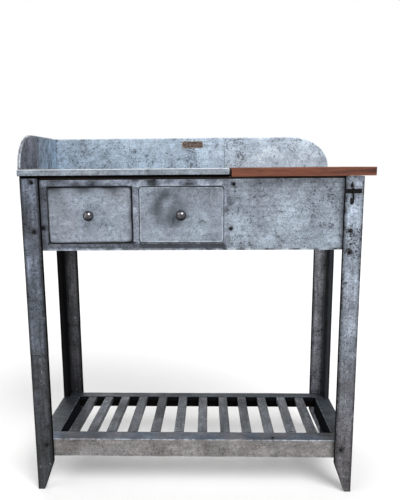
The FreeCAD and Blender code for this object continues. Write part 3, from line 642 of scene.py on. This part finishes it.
def side_rail(side, seed):
    """A rail between the legs, notched round the front and back rails."""
    node = "shelf_rail_" + side
    low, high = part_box(node)
    front_rail, back_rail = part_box("shelf_rail_front"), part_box("shelf_rail_back")
    start, end = front_rail[1].y, back_rail[0].y
    if side == "left":
        outer, notch, inner = low.x, front_rail[0].x, high.x
        corners = [(outer, low.y), (notch, low.y), (notch, start), (inner, start), (inner, end),
                   (notch, end), (notch, high.y), (outer, high.y)]
    else:
        outer, notch, inner = high.x, front_rail[1].x, low.x
        corners = [(outer, low.y), (outer, high.y), (notch, high.y), (notch, end), (inner, end),
                   (inner, start), (notch, start), (notch, low.y)]
    bm = new_mesh()
    top = plate(bm, rounded(corners, 0.0, 0.009), rim(0.0022, high.z - low.z),
                lambda u, v, depth: Vector((u, v, high.z - depth)), 0.012)
    for vertex in bm.verts:
        if abs(vertex.co.x - inner) < 0.001:
            mark(bm, [vertex], 0.0, IN_SHADE)
    weather(bm, top, 0.0009, seed)
    piece(node + "_clad", bm, "bench", node, ZINC["rail"])


side_rail("left", 14.0)
side_rail("right", 15.0)


def slat_boxes():
    """The box of each slat, found from the gaps between their points along X."""
    low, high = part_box("shelf_slats")
    edges = sorted({round(v.co.x, 5) for v in frame["nodes"]["shelf_slats"].data.vertices})
    return [(Vector((a, low.y, low.z)), Vector((b, high.y, high.z))) for a, b in zip(edges[::2], edges[1::2])]


# The slats were laid by eye: those on the left lean, with their back ends this far to the right.
SLAT_LEAN = 0.0045
bm = new_mesh()
for number, (low, high) in enumerate(slat_boxes()):
    tone = 0.3 * noise.noise(Vector((number * 1.7, 0.4, 2.2)))
    verts = block(bm, low, high, 0.0022, 0.012, tone=tone)
    weather(bm, verts, 0.0011, 21.0 + number)
    middle = (low + high) / 2
    lean = SLAT_LEAN * min(1.0, max(-0.2, -middle.x / 0.3))
    for vertex in verts:
        vertex.co.x += lean * (vertex.co.y - middle.y) / (high.y - middle.y)
piece("shelf_slats_clad", bm, "bench", "shelf_slats", ZINC["slat"])


# ---------------------------------------------------------------- cladding: legs

# Each flange's thickness, its width at the floor, and the height where the foot stops tapering.
LEG_FLANGE, LEG_FOOT, LEG_TAPER = 0.018, 0.019, 0.081
# The sheets end this far above the floor.
FOOT_GAP = 0.002


def leg_ring(face, shrink, height):
    """The L-shaped outline at one height, in (across, along depth), shrunk by the sheet's thickness."""
    outer = face - shrink
    inner = LEG_FLANGE - shrink
    corners = [(shrink, shrink), (outer, shrink), (outer, inner), (inner, inner), (inner, outer),
               (shrink, outer)]
    radius = 0.0022 - shrink
    loop = rounded(corners, [radius, radius, radius, 0.0008, radius, radius], 0.0075)
    reach = face
    if height < LEG_TAPER:
        reach = LEG_FOOT + (face - LEG_FOOT) * height / LEG_TAPER
    squeeze = (reach - shrink - inner) / (outer - inner)
    return [Vector([inner + (c - inner) * squeeze if c > inner else c for c in point]) for point in loop]


def leg_sheet(name, side_x, side_y, look, seed, seam=None):
    """One folded leg sheet; side_x and side_y point inwards, and below seam the sheet steps back."""
    low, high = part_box(name)
    face = high.x - low.x
    corner = Vector((low.x if side_x > 0 else high.x, low.y if side_y > 0 else high.y))
    heights = cuts(FOOT_GAP, high.z, 0.0008, 0.011, nails_near(low, high)[Z])
    if seam:
        heights = sorted(heights + [seam - 0.0004, seam + 0.0004])
    bm = new_mesh()
    rings = []
    outer = []
    for shrink, levels in ((0.0, heights), (SHEET, heights[::-1])):
        for height in levels:
            ring = []
            for point in leg_ring(face, shrink, height):
                ring.append(bm.verts.new((corner.x + side_x * point.x, corner.y + side_y * point.y, height)))
            rings.append(ring)
            if not shrink:
                outer += ring
    for a, b in zip(rings, rings[1:] + rings[:1]):
        for n in range(len(a)):
            bm.faces.new((a[n - 1], a[n], b[n], b[n - 1]))
    flat = leg_ring(face, 0.0, high.z)
    sharp = [i for i, p in enumerate(flat) if (flat[i - 1] - p).angle(p - flat[(i + 1) % len(flat)]) > 0.1]
    shaded = [i for i, p in enumerate(flat) if (p.x > face - 0.001 and p.y > 0.002)
              or (p.y > LEG_FLANGE + 0.001 and p.x > 0.002)]
    for ring in rings:
        mark(bm, [ring[i] for i in sharp], 1.0)
        mark(bm, [ring[i] for i in shaded], None, IN_SHADE)
    bmesh.ops.recalc_face_normals(bm, faces=bm.faces)
    weather(bm, outer, 0.0005, seed)
    if seam:
        tone = bm.verts.layers.float["tone"]
        for vertex in outer:
            if vertex.co.z < seam:
                inward = Vector((corner.x + side_x * 0.009, corner.y + side_y * 0.009, vertex.co.z))
                vertex.co += (inward - vertex.co).normalized() * 0.00025
            if abs(vertex.co.z - seam) < 0.0006:
                vertex[tone] = min(vertex[tone], -0.3)
    piece(name + "_folded", bm, "bench", name, ZINC[look])


leg_sheet("leg_sheet_front_left", 1, 1, "leg_dark", 41.0, seam=0.402)
leg_sheet("leg_sheet_front_right", -1, 1, "leg_light", 42.0)
leg_sheet("leg_sheet_back_left", 1, -1, "leg_back", 43.0, seam=0.384)
leg_sheet("leg_sheet_back_right", -1, -1, "leg_back_right", 44.0)


# ---------------------------------------------------------------- cladding: apron and drawers

def facing(y):
    """A plane that faces the front at y: u is X, v is Z, depth goes back."""
    return lambda u, v, depth: Vector((u, y + depth, v))


def oblong(low, high, radius, step):
    """The outline of a box seen from the front, with round corners."""
    corners = [(low.x, low.z), (high.x, low.z), (high.x, high.z), (low.x, high.z)]
    return rounded(corners, radius, step, turns=5)


def apron_sheet():
    low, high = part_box("apron_sheet")
    hem = low.z + 0.0042
    holes = []
    for side in ("left", "right"):
        d_low, d_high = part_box(side + "_drawer_sheet")
        gap = Vector((0.0015, 0, 0.0015))
        holes.append(oblong(d_low - gap, d_high + gap, 0.0095, 0.009)[::-1])
    found = [p for p, i in NAILS if i.y > 0.5 and abs(p.y - low.y) < 0.002]
    lines = ([p.x for p in found], [p.z for p in found] + [hem])
    bm = new_mesh()
    front = plate(bm, oblong(low, high, 0.0, 0.009), rim(0.0004, high.y - low.y), facing(low.y), 0.0105,
                  holes, lines)
    weather(bm, front, 0.0006, 51.0)
    first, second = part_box("left_drawer_sheet"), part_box("right_drawer_sheet")
    tone = bm.verts.layers.float["tone"]
    for vertex in front:
        x, _, z = vertex.co
        if x < second[1].x + 0.004:
            if z > first[1].z:
                vertex[tone] += min(1.4, max(-0.55, 0.5 + 2.4 * noise.noise(vertex.co * 31)))
            elif z < first[0].z:
                vertex[tone] += -0.2
            elif x < first[0].x:
                vertex[tone] += -0.2
            else:
                vertex[tone] += 0.45
            if max(first[0].x - x, x - first[1].x, first[0].z - z, z - first[1].z) < 0.0032:
                mark(bm, [vertex], 0.0, IN_SHADE)
            # Painted shadow of the right drawer on the strip below it.
            if z < low.z + 0.02 and x > second[0].x:
                mark(bm, [vertex], None, -0.5)
        else:
            away = math.hypot((x - second[1].x - 0.016) / 0.014, (z - low.z - 0.127) / 0.024)
            vertex[tone] += -0.42 * math.exp(-away ** 2)
        if z < hem:
            vertex.co.y -= 0.0007 + 0.0003 * noise.noise(vertex.co * 60)
            mark(bm, [vertex], 0.55, 1.6 * noise.noise(vertex.co * 40) - 0.1)
    piece("apron_sheet_dented", bm, "bench", "apron_sheet", ZINC["apron"])


apron_sheet()

# How far the hand-cut drawer fronts are out of square, at (left, right) x (bottom, top), in metres.
SKEW = {
    "left": {(0, 0): (0.0006, 0.0), (1, 0): (-0.0002, 0.0024),
             (0, 1): (0.0, -0.0008), (1, 1): (-0.0012, 0.0)},
    "right": {(0, 0): (0.0, 0.0006), (1, 0): (-0.0004, 0.0),
              (0, 1): (0.0006, 0.0), (1, 1): (0.0, -0.0009)},
}
# A dark, speckled bloom on the right drawer, as shares of the front's width and height.
STAIN_CENTRE, STAIN_REACH = (0.33, 0.66), (0.19, 0.34)


def drawer_sheet(side, seed):
    node = side + "_drawer_sheet"
    low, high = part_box(node)
    size = high - low
    radius = 0.0016
    turn = radius * (1 - math.sqrt(0.5))
    deep = size.y
    tray = [(radius + 0.003, 0, 0), (radius, 0, 0.8), (turn, turn, 1), (0, radius, 1),
            (0, radius + 0.002, 0.2), (0, deep - 0.0004, 0.4), (0.0004, deep, 0.6), (SHEET, deep, 0.2),
            (SHEET, SHEET, 0)]
    bm = new_mesh()
    front = plate(bm, oblong(low, high, 0.008, 0.009), tray, facing(low.y), 0.0085)
    weather(bm, front, 0.0007, seed)
    tone = bm.verts.layers.float["tone"]
    for vertex in bm.verts:
        u, v = (vertex.co.x - low.x) / size.x, (vertex.co.z - low.z) / size.z
        ragged = 0.8 + 1.2 * noise.noise(vertex.co * 30)
        if side == "right":
            away = math.hypot((u - STAIN_CENTRE[0]) / STAIN_REACH[0], (v - STAIN_CENTRE[1]) / STAIN_REACH[1])
            vertex[tone] -= 0.5 * ragged * math.exp(-((away - 0.65) / 0.45) ** 2)
        else:
            near = max(math.exp(-((1 - v) / 0.1) ** 2), math.exp(-((1 - u) / 0.04) ** 2))
            vertex[tone] -= 0.45 * ragged * near
        for (right, top), (dx, dz) in SKEW[side].items():
            share = (u if right else 1 - u) * (v if top else 1 - v)
            vertex.co.x += dx * share
            vertex.co.z += dz * share
    piece(node + "_dented", bm, side + "_drawer", node, ZINC["drawer_" + side])


drawer_sheet("left", 52.0)
drawer_sheet("right", 53.0)


# ---------------------------------------------------------------- worktop and gallery

def worktop():
    low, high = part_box("worktop_sheet")
    bm = new_mesh()
    verts = block(bm, low, high, 0.0026, 0.0115, skip="z- y+")
    # Edges below the top lose the edge colour, so its painted highlight runs only along the rolled top edge.
    mark(bm, [v for v in verts if v.co.z < high.z - 0.003], 0.0)
    weather(bm, verts, 0.0006, 61.0)
    piece("worktop_sheet_rolled", bm, "bench", "worktop_sheet", ZINC["worktop"],
          [("SOLIDIFY", {"thickness": SHEET, "offset": -1.0})])


def gallery_outline(length, below, rise, curve, step):
    """Counter-clockwise, with a quarter of an ellipse at the far top corner; v is 0 at the worktop."""
    sharp = [Vector((0, -below)), Vector((length, -below))] + ([Vector((length, 0))] if below else [])
    bend = arc(Vector((length - curve, 0)), Vector((curve, 0)), Vector((0, rise)), 26)[1:]
    points = sharp + bend + [Vector((0, rise))]
    dense = []
    for a, b in zip(points, points[1:] + points[:1]):
        count = max(1, round((b - a).length / step))
        dense += [a.lerp(b, n / count) for n in range(count)]
    return dense


WORKTOP_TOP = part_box("worktop_sheet")[1].z
GALLERY_CURVE = 0.118
# The step in the surface where one sheet laps the next.
LAP_STEP = 0.0003
# Where the back sheet runs into the side board.
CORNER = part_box("gallery_side_sheet")[1].x


def gallery(name, corner, along, inward, lap, seed):
    """One folded board; along runs from its square end to its curved one.

    lap is how far along the board one sheet ends on top of the next.
    """
    low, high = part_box(name + "_sheet")
    start = Vector(corner(low, high))
    start.z = WORKTOP_TOP
    length = (high - low).dot(Vector([abs(c) for c in along]))
    thickness = (high - low).dot(Vector([abs(c) for c in inward]))
    outline = gallery_outline(length, WORKTOP_TOP - low.z, high.z - WORKTOP_TOP, GALLERY_CURVE, 0.009)
    bm = new_mesh()
    front = plate(bm, outline, rim(0.0018, thickness),
                  lambda u, v, depth: start + along * u + inward * depth + Vector((0, 0, v)),
                  0.0105, lines=((lap,), ()))
    rest = [v for v in bm.verts if v not in set(front)]
    weather(bm, front, 0.00045, seed)
    weather(bm, rest, 0.00045, seed + 0.5)
    for vertex in front:
        past = (vertex.co - start).dot(along) - lap
        if past > 0.0005:
            vertex.co += inward * LAP_STEP
        if abs(past) < 0.0008:
            mark(bm, [vertex], None, -0.35)
        # Painted shade in the corner where the back sheet meets the side board.
        if name == "gallery_back" and vertex.co.x < CORNER + 0.004:
            mark(bm, [vertex], None, -0.4)
    piece(name + "_sheet_folded", bm, "bench", name + "_sheet", ZINC[name])


worktop()
gallery("gallery_back", lambda low, high: low, Vector((1, 0, 0)), Vector((0, 1, 0)), 0.544, 62.0)
gallery("gallery_side", lambda low, high: high, Vector((0, -1, 0)), Vector((-1, 0, 0)), 0.196, 63.0)


# ---------------------------------------------------------------- lid

def lid():
    low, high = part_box("lid_board")
    bm = new_mesh()
    planks = 3
    width = (high.y - low.y) / planks
    for number in range(planks):
        start = Vector((low.x, low.y + number * width, low.z))
        end = Vector((high.x, low.y + (number + 1) * width, high.z))
        verts = block(bm, start, end, 0.0016, 0.012, tone=(0.0, -0.1, 0.06)[number])
        weather(bm, verts, 0.0003, 71.0 + number, 0)
    piece("lid_board_planked", bm, "lid", "lid_board", LOOKS["hardwood"])


lid()


# ---------------------------------------------------------------- fittings

# (radius, distance into the timber, edge wear), from the point to the top of the domed head.
NAIL_PROFILE = [(0, 0.012, 0), (0.0004, 0.0118, 0), (0.0012, 0.0095, 0), (0.0012, 0.0, 0),
                (0.0033, -0.0001, 0.1), (0.0034, -0.0004, 0.3), (0.0029, -0.0008, 0.3),
                (0.0018, -0.0011, 0.1), (0.0008, -0.0012, 0.1), (0, -0.0012, 0.1)]
# How much deeper than the CAD nails the domed ones sit.
NAIL_SINK = 0.0002


def nails(node, spots, name):
    bm = new_mesh()
    for point, inward in spots:
        lathe(bm, NAIL_PROFILE, point + inward * NAIL_SINK, inward, 18)
    piece(name, bm, "bench", node, LOOKS["dark_steel"])


nails("cladding_nails", NAILS, "cladding_nails_domed")
nails("hook_screws", HOOK_NAILS, "hook_screws_domed")


def knob(side):
    node = side + "_knob"
    low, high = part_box(node)
    centre = Vector(((low.x + high.x) / 2, high.y, (low.z + high.z) / 2))
    ball = (high.x - low.x) / 2
    reach = high.y - low.y
    profile = [(0, 0, 0), (0.0076, 0, 0.2), (0.0080, 0.0006, 0.8), (0.0078, 0.0016, 0.8),
               (0.0062, 0.0026, 0.3), (0.0047, 0.0040, 0), (0.0044, 0.0065, 0), (0.0050, 0.0090, 0)]
    neck = 0.0062
    start = math.asin(neck / ball)
    turns = 18
    for i in range(turns + 1):
        angle = start + (math.pi - start) * i / turns
        radius = ball * math.sin(angle)
        profile.append((max(radius, 0) if i < turns else 0, reach - ball - ball * math.cos(angle), 0.15))
    bm = new_mesh()
    verts = lathe(bm, profile, centre, Vector((0, -1, 0)), 40)
    bmesh.ops.recalc_face_normals(bm, faces=bm.faces)
    weather(bm, verts, 0.0005, 80.0 if side == "left" else 83.0, 0)
    piece(node + "_turned", bm, side + "_drawer", node, LOOKS["pewter"])


knob("left")
knob("right")


def hook():
    """A strap with a pointed top, and a stem that curls forwards to a ball end."""
    low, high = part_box("tool_hook")
    strap, strap_bottom, strap_top = 0.003, 0.8375, 0.8485
    peak_bottom, peak_reach = 0.8465, 0.0055
    radius, rod, stem_top, tip, ball_radius = 0.006, 0.0024, 0.8445, 0.006, 0.0029
    turned = math.radians(40)
    curl = Vector((-math.sin(turned), -math.cos(turned), 0))
    front = high.y - strap
    bm = new_mesh()
    strap_low, strap_high = Vector((low.x, front, strap_bottom)), Vector((high.x, high.y, strap_top))
    block(bm, strap_low, strap_high, 0.0009, 0.003, nailed=False)
    middle = (low.x + high.x) / 2
    peak = [(middle - peak_reach, peak_bottom), (middle + peak_reach, peak_bottom), (middle, high.z)]
    plate(bm, rounded(peak, 0.0012, 0.002), rim(0.0006, strap, 0.0003), facing(front), 0.004)
    stem_y = front - rod / 2
    bend = Vector((middle, stem_y, low.z + radius + rod))
    top = Vector((middle, stem_y, stem_top))
    path = [top.lerp(bend, i / 8) for i in range(8)]
    hub = bend + curl * radius
    turns = 16
    for i in range(turns + 1):
        angle = math.pi * i / turns
        path.append(hub - curl * radius * math.cos(angle) - Vector((0, 0, radius * math.sin(angle))))
    path += [path[-1] + Vector((0, 0, tip * i / 3)) for i in range(1, 4)]
    tube(bm, path, rod, 16, 0.3)
    angles = [math.pi * i / 8 for i in range(1, 8)]
    ball = [(ball_radius * math.sin(a), -ball_radius * math.cos(a), 0.3) for a in angles]
    ball = [(0, -ball_radius, 0.3), *ball, (0, ball_radius, 0.3)]
    lathe(bm, ball, path[-1], Vector((0, 0, 1)), 16)
    piece("tool_hook_forged", bm, "bench", "tool_hook", LOOKS["forged_iron"])


hook()


def name_plate():
    low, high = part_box("name_plate")
    bm = new_mesh()
    outline = oblong(low, high, 0.003, 0.004)
    profile = [(0.0022, 0.0004, 0), (0.0018, 0, 0.5), (0.0005, 0, 1), (0, 0.0004, 1), (0, 0.001, 0.4)]
    plate(bm, outline, profile, facing(low.y), 0.005)
    piece("name_plate_bordered", bm, "bench", "name_plate", LOOKS["copper_plate"])


name_plate()


# ---------------------------------------------------------------- CAD nodes that stay

# Timber cores that show in gaps: weathered, and darkened as painted shade.
WEATHERED_AND_SHADED = ("left_drawer_front", "right_drawer_front", "apron_top_rail", "apron_bottom_rail",
             "left_stile", "middle_stile", "bin_front_board", "leg_front_left", "leg_front_right",
             "leg_back_left", "leg_back_right")
stood_for = {n for o in bpy.context.scene.objects for n in o.get("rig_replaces", [])}
for name, obj in frame["nodes"].items():
    if name in stood_for:
        continue
    look = LOOKS[obj.data.materials[0].name.split(".")[0]]
    if name in WEATHERED_AND_SHADED:
        look = LOOKS["timber_weathered_and_shaded"]
    # Near-black painted shade for the board under the lip and the ledgers under the slats.
    elif name in ("worktop_board", "shelf_ledgers"):
        look = LOOKS["timber_painted_shade"]
    obj.data.materials.clear()
    obj.data.materials.append(look)
    weld = obj.modifiers.new("weld", "WELD")
    weld.merge_threshold = 0.00002
    bevel = obj.modifiers.new("bevel", "BEVEL")
    bevel.width = 0.0007
    bevel.segments = 2
    bevel.limit_method = "ANGLE"
    obj.modifiers.new("normals", "WEIGHTED_NORMAL")


# ---------------------------------------------------------------- floor, light and camera

FLOOR_GLOW = 0.12
floor_mesh = bmesh.new()
bmesh.ops.create_circle(floor_mesh, cap_ends=True, radius=14.0, segments=96)
mesh = bpy.data.meshes.new("floor")
floor_mesh.to_mesh(mesh)
floor_mesh.free()
floor = bpy.data.objects.new("floor", mesh)
bpy.context.scene.collection.objects.link(floor)
pale = Shader("floor_paint", 0.0)
pale.surface.inputs["Roughness"].default_value = 0.9
mesh.materials.append(pale.finish(pale.blend(pale.noise(3.0), (0.86, 0.86, 0.86, 1), (0.9, 0.9, 0.9, 1))))
pale.put(pale.surface.inputs["Emission Color"], (1, 1, 1, 1))
pale.put(pale.surface.inputs["Emission Strength"], FLOOR_GLOW)

world = bpy.data.worlds.new("studio")
bpy.context.scene.world = world
world.use_nodes = True
nodes, links = world.node_tree.nodes, world.node_tree.links
seen = nodes.new("ShaderNodeLightPath")
level = nodes.new("ShaderNodeMapRange")
level.inputs["To Min"].default_value = 0.4
level.inputs["To Max"].default_value = 1.0
links.new(seen.outputs["Is Camera Ray"], level.inputs["Value"])
background = nodes["Background"]
background.inputs["Color"].default_value = (1, 1, 1, 1)
links.new(level.outputs[0], background.inputs["Strength"])


def lamp(name, place, strength, spread):
    """A wide, far studio light that shines from place towards the origin."""
    data = bpy.data.lights.new(name, "SUN")
    data.energy = strength
    data.angle = math.radians(spread)
    obj = bpy.data.objects.new(name, data)
    bpy.context.scene.collection.objects.link(obj)
    obj.rotation_euler = Vector(place).to_track_quat("Z", "Y").to_euler()


lamp("key", (0.55, -0.8, 1.0), 2.3, 36)
lamp("fill", (-1.0, -0.5, 0.7), 0.7, 60)
lamp("back", (-0.4, 1.0, 0.8), 0.8, 50)

CAMERA_PLACE = Vector((0.03574, -1.62671, 0.90769))
FOCAL_LENGTH, SHIFT_X, SHIFT_Y = 40.18, 0.0158, 0.0364
PITCH, YAW, ROLL = math.radians(10.31), math.radians(-1.79), math.radians(-0.49)
data = bpy.data.cameras.new("camera")
data.sensor_width = 36.0
data.lens = FOCAL_LENGTH
data.shift_x = SHIFT_X
data.shift_y = SHIFT_Y
data.clip_start = 0.05
camera = bpy.data.objects.new("camera", data)
bpy.context.scene.collection.objects.link(camera)
forward = Vector((math.sin(YAW) * math.cos(PITCH), math.cos(YAW) * math.cos(PITCH), -math.sin(PITCH)))
right = Vector((math.cos(YAW), -math.sin(YAW), 0))
upward = right.cross(forward)
rolled_right = right * math.cos(ROLL) + upward * math.sin(ROLL)
rolled_up = upward * math.cos(ROLL) - right * math.sin(ROLL)
camera.matrix_world = Matrix((rolled_right, rolled_up, -forward)).transposed().to_4x4()
camera.location = CAMERA_PLACE
bpy.context.scene.camera = camera
bpy.context.scene.view_settings.view_transform = "Standard"
